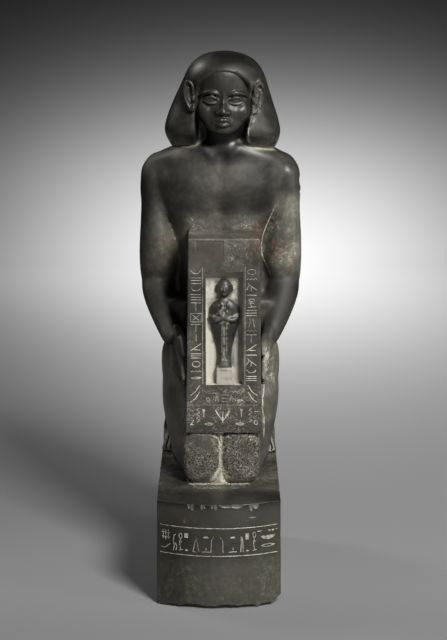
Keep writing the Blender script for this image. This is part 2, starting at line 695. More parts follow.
marks = {  # open lines in a unit box, wide 1 and high 1
    "post": [[(0.5, 0), (0.5, 1)]],
    "twin": [[(0.25, 0), (0.4, 0.6), (0.35, 1)], [(0.8, 0), (0.62, 0.95)]],
    "cap": [[(0.0, 0.04), (1.0, 0.04)], [(0.5, 0.14), (0.5, 0.32)]],
    "hook": [[(0.7, 0.95), (0.35, 0.85), (0.2, 0.5), (0.4, 0.3), (0.25, 0)],
             [(0.6, 0.45), (0.9, 0.2), (0.7, 0)]],
    "arch": [[(0, 0), (0.04, 0.7), (0.2, 0.97)], [(1, 0), (0.98, 0.7), (0.78, 0.97)]],
    "loop": [arc(0.5, 0.85, 0.28, 0.14, 0, 360, 10), [(0.5, 0.7), (0.35, 0.4), (0.55, 0.05)],
             [(0.25, 0.55), (0.75, 0.5)], [(0.15, 0.02), (0.9, 0.1)]],
    "wedge": [[(0, 0), (0.45, 1), (0.95, 0), (0, 0)]],
    "comb": [[(0, 0.85), (1, 0.85)], [(0, 0.62), (1, 0.62)], [(0.2, 0.5), (0.2, 1)], [(0.5, 0.5), (0.5, 1)],
             [(0.8, 0.5), (0.8, 1)], [(0, 0.1), (0.45, 0.1), (1, 0.3)]],
    "bowl": [arc(0.5, 0.9, 0.45, 0.7, 190, 350)],
    "lens": [arc(0.5, 0.1, 0.5, 0.4, 20, 160) + arc(0.5, 0.55, 0.5, 0.45, 200, 340) + [(0.97, 0.24)]],
    "bars": [[(0, 0.1), (1, 0.1)], [(0, 0.5), (1, 0.5)], [(0, 0.9), (1, 0.9)]],
    "tee": [[(0, 0.95), (1, 0.95)], [(0.5, 0.95), (0.5, 0)]],
    "slant": [[(0, 0.05), (1, 0.95)], [(0.3, 0.2), (0.9, 0.15)]],
    "frame": [[(0, 0), (1, 0), (1, 1), (0, 1), (0, 0)], [(0.2, 0.2), (0.8, 0.8)], [(0.2, 0.8), (0.8, 0.2)]],
    "disc": [arc(0.5, 0.5, 0.4, 0.4, 0, 360, 10)],
    "prongs": [[(0.5, 0), (0.5, 0.85)], [(0.42, 0.25), (0.2, 0.7), (0.05, 1)],
               [(0.58, 0.25), (0.8, 0.7), (0.95, 1)]],
    "wave": [[(0, 0.3), (0.17, 0.7), (0.34, 0.3), (0.5, 0.7), (0.67, 0.3), (0.84, 0.7), (1, 0.3)]],
    "bird": [[(0, 0.2), (0.3, 0.75), (0.6, 0.5), (1, 0.15)], [(0.3, 0.75), (0.15, 1)],
             [(0.5, 0.5), (0.45, 0)]],
    "dash": [[(0, 0.5), (1, 0.5)]],
    "tips": [[(0.08, 0.95), (0.26, 0.55)], [(0.92, 0.95), (0.74, 0.55)], [(0.5, 0.5), (0.5, 0.16)]],
    "peg": [arc(0.5, 0.9, 0.25, 0.08, 0, 360, 6), [(0.2, 0.9), (0.8, 0.9)], [(0.5, 0.8), (0.5, 0.2)]],
    "zigzag": [[(0.2, 0), (1, 0.14), (0, 0.28), (1, 0.42), (0, 0.56), (1, 0.7), (0, 0.84), (0.8, 1)]],
}


def cutMark(bm, lines, place, radius):  # grooves along the lines, on the surface that place gives
    for line in lines:
        points = [Vector(place(u, v)) for u, v in line]
        groove(bm, [point + noise.noise_vector(point / 5) * 0.3 for point in points], radius)


def cutPlate(bm, outline, place, depth):  # a shallow sunk patch
    inner = [bm.verts.new(place(u, v, -depth)) for u, v in outline]
    outer = [bm.verts.new(place(u, v, 1.5)) for u, v in outline]
    bm.faces.new(inner)
    bm.faces.new(outer[::-1])
    for i in range(len(inner)):
        j = (i + 1) % len(inner)
        bm.faces.new((inner[j], inner[i], outer[i], outer[j]))


band = {  # mark, left edge, bottom, width and height on the base's front
    "signs": [
        ("comb", -54.5, 55, 9, 19), ("hook", -43.5, 55, 5, 16.5), ("loop", -38, 55, 5.5, 17),
        ("wedge", -23.5, 55, 6, 15), ("cap", -15.5, 55, 8, 14.5), ("arch", -7, 55, 11, 15.5),
        ("cap", 9, 55, 8, 14.5), ("twin", 19, 55, 4.5, 15), ("loop", 30.5, 55, 5, 18.5),
        ("dash", 36, 72.5, 20, 2), ("lens", 39, 57.5, 15, 6),
    ],
    "plates": [
        [(-31.5, 68), (-28, 68), (-28, 72.5), (-31.5, 72.5)], [(-31, 55.5), (-27, 55.5), (-30, 57.8)],
        [(24.6, 66.8), (28, 66.8), (28, 73), (24.6, 73)], [(25, 55.5), (28.6, 55.5), (26, 57.4)],
        arc(46.5, 69.8, 7.6, 4.8, 190, 350, 8),
        arc(-11.5, 68.6, 2.6, 1.9, 0, 180, 6), arc(13, 68.6, 2.6, 1.9, 0, 180, 6),
        arc(48, 73.4, 1.5, 1.1, 0, 330, 7), arc(51.5, 73.4, 1.5, 1.1, 0, 330, 7),
    ],
    "depth": 0.5,
}


def plinthStrokes():
    bm = bmesh.new()
    reach, radius = plinth["lineReach"], plinth["strokeRadius"]
    for level in plinth["lines"]:
        groove(bm, [onPlinth(across, level) for across in np.linspace(-reach, reach, 23)], radius)
    for name, left, bottom, width, height in band["signs"]:
        cutMark(bm, marks[name], lambda u, v: onPlinth(left + u * width, bottom + v * height), radius)
    for outline in band["plates"]:
        cutPlate(bm, outline, onPlinth, band["depth"])
    return newObject("plinthStrokes", bm, [stoneFilled])


print("base")
plinthSolid = plinthBody()
for cutter in (plinthStrokes(), plinthDamage(), plinthChips()):
    carved(plinthSolid, cutter)


shrine = {
    "front": -43, "back": 30, "bottom": 150.5, "top": 334.6,
    "middle": 3.2, "halfTop": 32.9, "halfBottom": 35.3,
    "wear": 1.1, "grid": (4.0, (-34, -42, 152), (41, 30, 334)), "waviness": (0.25, 17),
    "nicheHalf": 17, "nicheBottom": 197, "nicheTop": 303.9, "nicheDepth": 11, "nicheMiddle": 0.4,
    "strokeRadius": 0.42, "bandRadius": 0.56, "boldRadius": 1.0,
    "panel": {"middle": -9.9, "half": 13, "bottom": 309, "bend": 320, "top": 333, "depth": 0.9, "run": 0.1},
}


def onShrine(x, z, out=0.0):
    return (shrine["middle"] + x, shrine["front"] - out, z)


def shrineBody():
    bm = bmesh.new()
    halves, deep = (shrine["halfBottom"], shrine["halfTop"]), (shrine["front"], shrine["back"])
    boxed(bm, *halves, *deep, shrine["bottom"], shrine["top"], shrine["middle"])
    eased(bm, shrine["wear"])
    gridded(bm, *shrine["grid"])
    obj = newObject("shrine", bm, [stoneSkin])
    uneven(obj, *shrine["waviness"])
    return obj


def nicheCutter():
    bm = bmesh.new()
    half, bottom, top = shrine["nicheHalf"], shrine["nicheBottom"], shrine["nicheTop"]
    front, back = shrine["front"] - 3, shrine["front"] + shrine["nicheDepth"]
    boxed(bm, half, half, front, back, bottom, top, shrine["middle"] + shrine["nicheMiddle"])
    gridded(bm, 3.0, (-14, front, bottom + 1), (21, back, 303))
    obj = newObject("niche", bm, [stoneSkin])
    uneven(obj, 0.2, 9)
    return obj


columns = {  # marks from the top down with their heights, on the left and on the right
    -1: [("bowl", 6), ("bars", 6.5), ("bowl", 5.5), ("bars", 6), ("tee", 8.5), ("frame", 8), ("tee", 7.5),
         ("post", 7), ("slant", 7.5), ("bars", 5), ("disc", 7), ("wave", 3), ("lens", 4)],
    1: [("disc", 6), ("wave", 3.5), ("bird", 8), ("dash", 3), ("loop", 8.5), ("bars", 6), ("twin", 8.5),
        ("wave", 3), ("tee", 7.5), ("slant", 7), ("dash", 3), ("bird", 7.5), ("bowl", 5), ("bars", 5)],
    "middle": 25.6, "wide": 9.6, "top": 309, "gap": 1.9,
    "border": 19.6, "borderFoot": 198,
    "fan": [(31, 180.5), (26.5, 184), (22.5, 190.5)], "fanRise": 6.5,  # the two slanting strokes under each
}
register = {  # mark, left edge, bottom, width and height
    "level": 178, "half": 31.8,
    "band": [
        ("zigzag", -25.4, 161.5, 3, 13.5), ("peg", -20.6, 164.5, 4, 9.5),
        ("peg", 14.5, 164.5, 4, 9.5), ("zigzag", 23.5, 161.5, 3, 13.5), ("lens", -18, 158.2, 8, 5),
        ("lens", 11, 158.2, 8, 5), ("dash", -31.5, 171.5, 3, 2), ("dash", 28.5, 170.5, 4, 2),
        ("slant", -31.5, 158, 4, 6), ("disc", 28, 158.5, 4, 5),
    ],
    "bold": [("tips", -8.6, 160.5, 15.5, 13)],
    "worn": [
        ("prongs", -8.6, 160.5, 15.5, 13), ("wave", -14, 188, 10, 2.6), ("twin", -9, 181, 5, 6),
        ("bars", -2, 180.5, 6, 8), ("bird", 5.5, 181, 6, 7), ("wave", 6, 189.5, 9, 2.4),
        ("disc", -16.5, 181, 4, 4.5), ("lens", 12, 181.5, 6, 4), ("slant", -1, 190, 4, 3),
    ],
}


def shrineStrokes():
    bm = bmesh.new()
    thin = shrine["strokeRadius"]
    reach, level = register["half"], register["level"]
    cutMark(bm, [[(-reach, level), (reach, level)]], onShrine, thin * 0.8)
    for side in sides:
        border = side * columns["border"]
        cutMark(bm, [[(border, columns["borderFoot"]), (border, columns["top"])]], onShrine, thin * 0.6)
        left, high, wide = side * columns["middle"] - columns["wide"] / 2, columns["top"], columns["wide"]
        for name, tall in columns[side]:
            high -= tall + columns["gap"]
            cutMark(bm, marks[name], lambda u, v: onShrine(left + u * wide, high + v * tall), thin)
        for lift in (0, columns["fanRise"]):
            line = [(side * x, z + lift) for x, z in columns["fan"]]
            cutMark(bm, [line], onShrine, thin * 1.3)
    for part, radius in (("bold", shrine["boldRadius"]), ("band", shrine["bandRadius"]), ("worn", thin)):
        for name, left, low, wide, tall in register[part]:
            cutMark(bm, marks[name], lambda u, v: onShrine(left + u * wide, low + v * tall), radius)
    return newObject("shrineStrokes", bm, [stoneFilled])


def lintelPanel():  # the smoother half of the stretch above the niche, which sinks in toward its top
    bm = bmesh.new()
    panel, front = shrine["panel"], shrine["front"]
    half, bottom, top = panel["half"], panel["bottom"], panel["top"]
    boxed(bm, half, half, front - 4, front + panel["depth"], bottom, top, panel["middle"])
    for vert in bm.verts:
        if vert.co.z < panel["bend"] and vert.co.y > front:
            vert.co.y = front - panel["run"]
    gridded(bm, 3.0, (-23, front - 1, bottom), (4, front + 1, top))
    obj = newObject("lintelPanel", bm, [stoneSmooth])
    uneven(obj, 0.25, 6)
    return obj


print("shrine")
shrineSolid = shrineBody()
for cutter in (nicheCutter(), lintelPanel(), shrineStrokes()):
    carved(shrineSolid, cutter)


body = {
    "voxel": 2.3, "rounds": 6,
    "trunk": [
        (0, 49, 99, 47, 33, 2.4), (0, 49, 134, 51, 35, 2.2), (0, 48, 164, 54, 39, 2.1),
        (0, 46, 186, 56.9, 41, 2), (0, 45, 200, 57.4, 41, 2), (0, 45, 214, 56.2, 38, 2.1),
        (0, 43, 228, 50, 32, 2.3), (0, 42, 252, 41, 26.5, 2.4), (0, 41.5, 290, 39, 27, 2.5),
        (0, 41, 328, 45, 28.5, 2.6), (0, 40, 348, 54, 31, 2.7), (0, 39, 366, 61.5, 33, 2.9),
        (0, 39, 382, 66, 32, 2.9), (0, 39, 393, 66.5, 31, 2.7), (0, 39, 400, 64.4, 30, 2.6),
        (0.6, 39, 405, 56.6, 30, 2.7), (1.2, 39.5, 410, 45, 30, 3), (1.6, 40, 414, 37, 29, 3),
        (1.8, 40, 417, 24, 24, 2.4),
    ],
    "neck": [
        (1.4, 33, 392, 27, 20, 2.2), (2, 31, 402, 21, 18.5, 2.1), (2.4, 29, 414, 18.5, 18),
        (2.6, 27, 436, 19, 19),
    ],
    "thigh": [
        (17.6, -41, 126.2, 12.6, 21.5, 3.0), (17.6, -39.8, 126.2, 15.8, 24.6, 3.4),
        (17.6, -36, 126.2, 17.5, 26.4, 3.7), (18.4, -23, 128.2, 18.4, 28.4, 3.4),
        (24, 1, 140, 22.8, 38, 2.7), (29.4, 27, 163, 25.4, 39, 2.5), (31, 63, 172, 26, 38, 2.4),
        (28, 83, 166, 22, 34, 2.3), (23, 92, 160, 13, 22, 2),
    ],
    "calf": [
        (22, -31, 109.5, 13, 11), (27.5, 2, 113.5, 12, 15), (33.5, 36, 117.5, 13, 18),
        (37, 66, 117.5, 10.5, 19), (39, 82, 116.5, 8, 15),
    ],
    "upperArm": [
        (57, 39, 403.4, 5, 8), (58, 38.6, 400, 9.6, 12.5), (59.8, 38, 393, 12.8, 16.5),
        (61, 37.5, 386, 13.8, 18.5), (62, 37, 374, 13, 18.5), (62.6, 36.5, 356, 12.8, 18.5),
        (62.4, 36, 338, 13.8, 18.5, 2.2), (60.2, 36, 322, 17, 19, 2.3), (59, 37, 306, 18.6, 19, 2.3),
        (59.4, 39, 293, 17.8, 18, 2.2), (60.1, 41, 281, 15.8, 15.5), (60.1, 41, 273, 10.5, 11),
        (59.5, 40, 270, 5, 6),
    ],
    "foreArm": [
        (61, 48, 289, 9, 9), (61.2, 42, 284, 13.8, 13.6), (60.2, 32, 273, 15, 14.6),
        (55.9, 20, 258, 13.3, 13.2), (50.5, 4, 243, 10.2, 10.5), (46.5, -5, 234, 8.4, 9), (45, -8, 231, 7, 8),
    ],
    # stone left between arm and body: half width, front, back, bottom, top, middle
    "webs": [(12, 34, 52, 200, 350, 38), (9.5, 7, 40, 196, 268, 38)],
    "front": [  # soft lines on one side of the chest: height, width, points
        (1.8, 17, [(24, 6, 372), (34, 8, 366)]),
        (-1.5, 6, [(54, 12, 356), (38, 6, 347), (16, 6, 345), (4, 7, 349)]),
        (0.35, 5.0, [(10, 10, 403), (28, 10, 404), (50, 18, 402)]),
        (0.7, 3.4, [(19, 10, 414), (13, 9, 406), (5, 9, 399)]),
        (-1.0, 5.0, [(49.5, 10, 392), (50, 6, 372), (52, 10, 350)]),
        (1.6, 12.0, [(66, 24, 386), (70, 30, 372)]),
    ],
    "middle": [
        (-1.1, 6, [(1, 4, 392), (0, 4, 372), (0, 7, 350)]),
        (-1.2, 5.0, [(2, 9, 404), (2, 10, 399)]),
        (-0.8, 8.0, [(0, 10, 342), (0, 12, 330)]),
    ],
    "waviness": (0.16, 13.0), "kneeWider": 1.8,
    "armFlakes": [  # lost from the outer edge of the right arm: middle and size
        ((75.9, 30, 377), (2.2, 12, 6.4)), ((76.6, 28, 389.5), (2.0, 9, 3.2)), ((76.4, 32, 366.4),
        (2.0, 9, 2.4)),
    ],
}


def bodySolid():
    bm = bmesh.new()
    loft(bm, body["trunk"], count=40, axis=up)
    loft(bm, body["neck"], axis=up)
    for name, how in (("thigh", {"count": 36, "axis": forward}), ("calf", {"axis": forward}),
                      ("upperArm", {"axis": -up}), ("foreArm", {})):
        for side in sides:
            loft(bm, shifted(body[name], side=side), **how)
    for half, front, back, bottom, top, middle in body["webs"]:
        for side in sides:
            boxed(bm, half, half, front, back, bottom, top, side * middle)
    obj = remeshed(newObject("body", bm, [stoneSkin]), body["voxel"], body["rounds"])
    places = vertexValues(obj)
    places[:, 0] += body["kneeWider"] * boxMask(places, ((20, 60), (-60, -12), (90, 152)), 8)
    moveVertices(obj, places)
    relief(obj, mirrored(body["front"]) + body["middle"])
    uneven(obj, *body["waviness"])
    return obj


def armFlakes():
    bm = bmesh.new()
    for middle, size in body["armFlakes"]:
        chip(bm, middle, size)
    return newObject("armFlakes", bm, [stoneSkin])


foot = {
    "voxel": 1.2, "rounds": 2,
    "sole": [
        (39, 87, 148, 9, 6), (40.5, 89, 136, 12, 8), (42.5, 88, 122, 13, 8), (44, 85, 110, 12, 9),
        (44, 84, 100, 11.5, 9),
    ],
    "heel": ((40, 90, 150), (8.5, 7, 9)),
    # toes from the big one out; the left foot stands a little further back than the right one
    "toes": 5, "first": 35.5, "apart": 4.1, "bigToe": 3.2, "toe": 2.5, "tips": {-1: 60, 1: 55}, "step": 2.2,
    "knuckle": 80, "fan": 2.2, "gapRadii": [0.6, 0.9, 1.1, 1.2, 1.2],
}


def footSolid(side):
    bm = bmesh.new()
    middle, knuckle = plinth["middle"], foot["knuckle"]
    loft(bm, shifted(foot["sole"], middle, side=side))
    (heel,) = shifted([foot["heel"][0]], middle, side=side)
    egg(bm, heel, foot["heel"][1])
    for i in range(foot["toes"]):
        x, wide = foot["first"] + i * foot["apart"], foot["toe"] if i else foot["bigToe"]
        tip = foot["tips"][side] + i * foot["step"]
        fan = foot["fan"] * (0.3 + 0.25 * i)
        toe = [
            (x - 1, 88, 115, wide, wide + 2), (x, knuckle, 111.5, wide, wide + 1.6),
            (x + fan * 0.5, (knuckle + tip) / 2, 106.4, wide, wide + 1),
            (x + fan, tip + 2, 103, wide, wide * 0.9), (x + fan, tip, 102, wide * 0.6, wide * 0.5),
        ]
        loft(bm, shifted(toe, middle, side=side), count=14)
    obj = remeshed(newObject("foot", bm, [stoneSkin]), foot["voxel"], foot["rounds"])
    bm = bmesh.new()
    for i in range(foot["toes"] - 1):  # the gaps between the toes
        x = foot["first"] + (i + 0.5) * foot["apart"]
        tip = foot["tips"][side] + (i + 0.5) * foot["step"]
        fan = foot["fan"] * (0.42 + 0.25 * i)
        gap = [
            (x - 0.6, 87, 120), (x, knuckle, 115.4), (x + fan * 0.5, (knuckle + tip) / 2, 109.8),
            (x + fan, tip + 3, 105.6), (x + fan, tip - 1.5, 103.4),
        ]
        strand(bm, [Vector(point) for point in shifted(gap, middle, side=side)], foot["gapRadii"])
    merged(obj, newObject("toeGaps", bm, [stoneDeep]), "DIFFERENCE")
    return obj


hand = {
    "voxel": 1.1, "rounds": 2, "wrist": 234, "finger": 23.0, "spread": 5.4, "out": 1.4,
    # out from the shrine's side, forward and up from the wrist
    "palm": [
        (10.5, 0, 7, 7, 8), (10, -3, 4, 7, 8.5), (7, -9, -5, 6, 10.5, 2.4), (4.5, -17, -15, 5, 11.6, 2.6),
        (3.4, -22, -21, 4.2, 11.2, 2.6),
    ],
    "thumb": [
        (5, -10, 2, 4.2, 4.2), (3.6, -22, -2, 4, 3.8), (2.6, -31, -7.5, 3.3, 3.2), (2.2, -35.5, -11, 2, 2),
    ],
    # along a finger: the share of its length and the radius there
    "fingerShape": [(0, 3.4), (0.3, 3.1), (0.5, 3.2), (0.8, 2.7), (0.95, 2.2), (1, 1.2)],
}


def handSolid(side):
    bm = bmesh.new()
    wall = shrine["middle"] + side * (shrine["halfTop"] + hand["out"])
    wrist = hand["wrist"]
    loft(bm, shifted(hand["palm"], wall, z=wrist, side=side))
    for i in range(4):
        apart = (i - 1.5) * hand["spread"]
        length = hand["finger"] - 2.2 * abs(i - 2) ** 1.5
        start = Vector((wall + side * 3.2, -20.5 - apart * 0.82, wrist - 20 + apart * 0.5))
        line = Vector((-side * 0.03, -0.5, -0.866))
        points = [start + line * length * share for share, _ in hand["fingerShape"]]
        strand(bm, points, [radius for _, radius in hand["fingerShape"]], count=14)
    loft(bm, shifted(hand["thumb"], wall, z=wrist, side=side), count=14)
    return remeshed(newObject("hand", bm, [stoneSkin]), hand["voxel"], hand["rounds"])


knees = {
    "kneeParting": [  # the line between the knees
        (0.4, -53, 112, 2.2, 12.6), (0.4, -53, 118, 1.6, 13), (0.5, -53, 128, 1.2, 13.4),
        (0.5, -53, 140, 1.2, 13.4), (0.8, -53, 145, 1.4, 13.4),
    ],
    "kneeWeb": [  # stone left uncut behind and at the foot of that line
        (0, -24, 98, 12, 16.5), (0, -24, 103, 9, 16), (0.2, -24, 108, 6, 15.6), (0.4, -24, 114, 3.2, 15.3),
        (0.4, -24, 121, 1.8, 14.8), (0.4, -24, 138, 1.8, 14.8), (0, -24, 146, 4.2, 15.2),
        (-0.4, -24, 150, 8, 15.4), (-0.4, -24, 153, 11, 15.2),
    ],
}


def kneePiece(name):
    bm = bmesh.new()
    loft(bm, knees[name], count=24, axis=up)
    return newObject(name, bm, [stoneSkin])


pillar = {
    "half": 19, "front": 40, "back": 92, "bottom": 99, "top": 436, "middle": 1, "narrowing": 1,
    "wear": 1.0, "grid": (6.0, (-19, 42, 104), (21, 90, 432)), "waviness": (0.25, 21),
}


def pillarSolid():
    bm = bmesh.new()
    halves = (pillar["half"] + pillar["narrowing"], pillar["half"] - pillar["narrowing"])
    boxed(bm, *halves, pillar["front"], pillar["back"], pillar["bottom"], pillar["top"], pillar["middle"])
    eased(bm, pillar["wear"])
    gridded(bm, *pillar["grid"])
    obj = newObject("pillar", bm, [stoneSkin])
    uneven(obj, *pillar["waviness"])
    return obj


print("body")
statue = bodySolid()
merged(statue, kneePiece("kneeWeb"))
merged(statue, kneePiece("kneeParting"), "DIFFERENCE")
merged(statue, armFlakes(), "DIFFERENCE")
for side in sides:
    merged(statue, footSolid(side))
    merged(statue, handSolid(side))


head = {
    "middle": 2.6, "tilt": math.radians(1.9), "pivot": 410.0, "shift": -1.2,
    "chin": 426.5, "brow": 462.5, "front": -11.5,
}
wig = {
    "voxel": 2.0, "rounds": 6,
    "outside": [
        (3.3, 34, 404, 47, 26, 2.4), (3.0, 32.5, 412, 51.4, 30, 2.6), (2.6, 30.5, 419, 53.8, 33.5, 2.6),
        (2.6, 30, 428, 54.4, 34, 2.6), (2.6, 30.5, 440, 51.6, 34, 2.3), (2.6, 31, 452, 47.2, 34, 2.05),
        (3.0, 29, 464, 42.6, 35), (3.4, 24.5, 474, 38.8, 37.6), (3.4, 24, 481, 36, 36.6),
        (3.4, 23.5, 488, 31.6, 32.6), (3.4, 23, 494, 25.2, 26.5), (3.4, 22.5, 498, 16.8, 18),
        (3.4, 22, 500.2, 6.5, 7.5),
    ],
    "opening": [
        (1.2, -18, 394, 23.5, 36, 9), (1.2, -18, 418, 23.5, 36, 9), (1.6, -18, 432, 24.4, 36, 9),
        (2.2, -20, 440, 26, 34, 7), (2.6, -22, 448, 27.4, 31, 4), (2.6, -22, 465, 27.5, 28, 4),
        (2.6, -22, 475, 26, 20.0, 3), (2.6, -22, 483, 19, 13, 2.4),
    ],
    "hem": {"front": 7.0, "back": 46.0, "rise": 11.0, "top": 432.0},
}


def wigSolid():
    bm = bmesh.new()
    loft(bm, wig["outside"], count=40, axis=up)
    hem = wig["hem"]
    for vert in bm.verts:  # the lower edge climbs toward the front
        share = min(max((hem["back"] - vert.co.y) / (hem["back"] - hem["front"]), 0), 1)
        if vert.co.z < hem["top"]:
            vert.co.z += hem["rise"] * share * (hem["top"] - vert.co.z) / (hem["top"] - wig["outside"][0][2])
    outside = newObject("wig", bm, [stoneSkin])
    bm = bmesh.new()
    loft(bm, wig["opening"], count=32, axis=up)
    merged(outside, newObject("opening", bm, [stoneSkin]), "DIFFERENCE")
    return remeshed(outside, wig["voxel"], wig["rounds"])


face = {
    "voxel": 0.7, "rounds": 2, "rough": 1.0, "roughRounds": 8,
    # the rows and places below count from the face's front and from the chin, brow, nose or mouth
    "skull": [
        (0, 12.5, 0, 9, 9.5, 2), (0, 15.5, 4, 15.5, 15.5, 2), (0, 20.5, 12, 21.6, 20.8, 2.1),
        (0, 25.5, 22, 25, 25.4, 2.2), (0, 28, 33, 26, 27.6, 2.2), (0, 29.5, 44, 26, 29, 2.2),
        (0, 30.0, 55, 24.4, 29.5, 2.1), (0, 31.5, 62, 17.5, 27.2, 2),
    ],
    "nose": [
        (0, 3.2, -1.2, 4.2, 3.8), (0, 1.2, 1.4, 5, 7.4), (0, 1.6, 4, 4.2, 7.6), (0, 2.8, 9, 3.3, 6),
        (0, 3.2, 13, 3, 4.4), (0, 3.4, 19, 4, 3.6),
    ],
    "nostril": (5.0, -0.2, 1.9, (2.7, 3.6, 2.5)), "cheek": (14.5, 10.4, 3.5, (9.6, 8.2, 11.5)),
    "chin": (0, 4.4, 4.8, (9, 5.8, 5.6)), "mouth": (0, 5.6, -0.3, (12.5, 7.2, 7.6)), "mouthDrop": 0.38,
    "eye": 11.2, "eyeSize": (7.4, 5.8, 4.3), "eyeLift": -5.2, "eyeIn": 7.0, "eyeTurn": 0.12, "eyeRound": 0.1,
    "brows": [(4.0, 2.6, -0.2), (8.5, 2.2, 1.8), (13.5, 3.4, 2.2), (19, 7.4, 0.6), (23, 12.6, -2.4)],
    "browRadii": [1.2, 2.1, 2.1, 1.7, 0.9],
    # across, lift and radius, then how far the lids stand off the eyeball
    "upperLid": [(-7.0, -1.3, 0.6), (-4.0, 1.8, 1.0), (0, 3.2, 1.15), (4.0, 2.4, 1.0), (8.2, -0.4, 0.6)],
    "lowerLid": [(-7.0, -1.3, 0.5), (-3.4, -2.8, 0.7), (0.8, -3.2, 0.75), (4.6, -2.3, 0.7), (8.2, -0.4, 0.5)],
    "lidsOut": {"upperLid": 0.8, "lowerLid": 0.4},
    "upperLip": [
        (-9.6, 3.6, 0.0), (-5.0, 0.2, 1.3), (-1.8, -1.3, 2.2), (0, -1.0, 1.7), (1.8, -1.3, 2.2),
        (5.0, 0.2, 1.3), (9.6, 3.6, 0.0),
    ],
    "upperLipRadii": [0.6, 1.7, 2.0, 1.9, 2.0, 1.7, 0.6],
    "lowerLip": [(-8.4, 3.4, -1.0), (-4.2, 0.3, -2.2), (0, -0.9, -2.7), (4.2, 0.3, -2.2), (8.4, 3.4, -1.0)],
    "lowerLipRadii": [0.6, 2.0, 2.5, 2.0, 0.6],
}


def onEye(side, across, lift, out):  # a point just off the eyeball
    a, b, c = face["eyeSize"]
    room = max(1 - (across / (a + 1.8)) ** 2 - (lift / (c + 2.4)) ** 2, 0.02)
    x = head["middle"] + side * (face["eye"] + across)
    y = head["front"] + face["eyeIn"] + abs(face["eye"] + across) * face["eyeRound"]
    return (x, y - (b + out) * math.sqrt(room), head["brow"] + face["eyeLift"] + lift)


def faceSolid():
    bm = bmesh.new()
    middle, front, chin, brow = head["middle"], head["front"], head["chin"], head["brow"]
    third = (brow - chin) / 2
    noseZ = brow - third
    mouthZ = noseZ - third * face["mouthDrop"]

    def pad(name, level, side=1):  # a rounded swelling
        ((*place, size),) = shifted([face[name]], middle, front, level, side)
        egg(bm, place, size)

    loft(bm, shifted(face["skull"], middle, front, chin), count=36, axis=up)
    loft(bm, shifted(face["nose"], middle, front, noseZ), count=20, axis=up)
    for side in sides:
        pad("nostril", noseZ, side)
        pad("cheek", noseZ, side)
    pad("chin", chin)
    pad("mouth", mouthZ)
    obj = remeshed(newObject("face", bm, [stoneSkin]), face["rough"], face["roughRounds"])
    soft = []
    for side in sides:
        eye = middle + side * face["eye"]
        socket = [(eye - 3, front + 2, brow - 5), (eye + 3, front + 2.4, brow - 5)]
        fold = [(middle + side * 6.4, front + 2, noseZ + 0.6), (middle + side * 11, front + 4, mouthZ + 1)]
        corner = [(middle + side * 10.6, front + 5, mouthZ), (middle + side * 11.4, front + 5, mouthZ)]
        soft += [(-3.6, 6.4, socket), (-0.9, 2.4, fold), (-0.8, 1.8, corner)]
    soft.append((-1.1, 3.2, [(middle - 6, front + 1, mouthZ - 6), (middle + 6, front + 1, mouthZ - 6)]))
    soft.append((-0.5, 1.2, [(middle, front + 1, noseZ - 1.5), (middle, front + 1, mouthZ + 3)]))
    relief(obj, soft)
    bm = bmesh.new()
    bm.from_mesh(obj.data)
    bpy.data.objects.remove(obj)
    for side in sides:
        eye = middle + side * face["eye"]
        inward = front + face["eyeIn"] + face["eye"] * face["eyeRound"]
        egg(bm, (eye, inward, brow + face["eyeLift"]), face["eyeSize"], (0, 0, side * face["eyeTurn"]))
        for name, out in face["lidsOut"].items():
            lid = [onEye(side, u, v, out) for u, v, _ in face[name]]
            strand(bm, lid, [radius for _, _, radius in face[name]])
        strand(bm, shifted(face["brows"], middle, front, brow, side), face["browRadii"])
    for name in ("upperLip", "lowerLip"):
        strand(bm, shifted(face[name], middle, front, mouthZ), face[name + "Radii"])
    return remeshed(newObject("face", bm, [stoneSkin]), face["voxel"], face["rounds"], 0.4)


ear = {
    "voxel": 0.8, "rounds": 2,
    "high": 28.5, "wide": 11.0, "place": (30.8, 1.0, 459.5), "turns": (0.5, 0.08, 0.1),
    # across, up and out, each with a radius
    "rim": [
        (-0.55, 0.1, 0.6, 1.2), (-0.8, 0.6, 1.4, 1.5), (-0.3, 0.96, 1.9, 1.6), (0.4, 0.9, 2.1, 1.6),
        (0.86, 0.45, 2.2, 1.6), (0.84, -0.05, 2.1, 1.5), (0.5, -0.5, 1.8, 1.6), (0.1, -0.8, 1.4, 2.2),
        (-0.4, -0.86, 1.2, 2.2), (-0.6, -0.6, 0.8, 1.2),
    ],
    "inner": [(0.1, 0.62, 1.0, 0.9), (0.42, 0.3, 1.2, 1.2), (0.38, -0.1, 1.2, 1.2), (0.0, -0.42, 0.9, 0.8)],
    "flap": ((-0.62, -0.2, 0.9), (1.6, 1.8, 2.6)), "plate": (0.92, 1.6, 0.9), "plateIn": 1.1,
}


def earSolid(side):
    bm = bmesh.new()
    out, y, z = ear["place"]
    origin = Vector((head["middle"] + side * out, y, z))
    turn, nod, roll = ear["turns"]
    lean = rotation(side * turn, "Z") @ rotation(nod, "X") @ rotation(side * roll, "Y")
    high, wide = ear["high"] / 2, ear["wide"] / 2

    def place(u, v, out):  # across the ear away from the face, up it, and out of it
        return origin + lean @ Vector((side * u * wide, -out, v * high))

    for name in ("rim", "inner"):
        strand(bm, [place(*point[:3]) for point in ear[name]], [point[3] for point in ear[name]])
    flap, flapSize = ear["flap"]
    egg(bm, place(*flap), flapSize, detail=2)
    plateWide, plateThick, plateHigh = ear["plate"]
    made = egg(bm, (0, 0, 0), (wide * plateWide, plateThick, high * plateHigh))
    for vert in made:
        vert.co = origin + lean @ (vert.co + Vector((0, ear["plateIn"], 0)))
    return remeshed(newObject("ear", bm, [stoneSkin]), ear["voxel"], ear["rounds"])


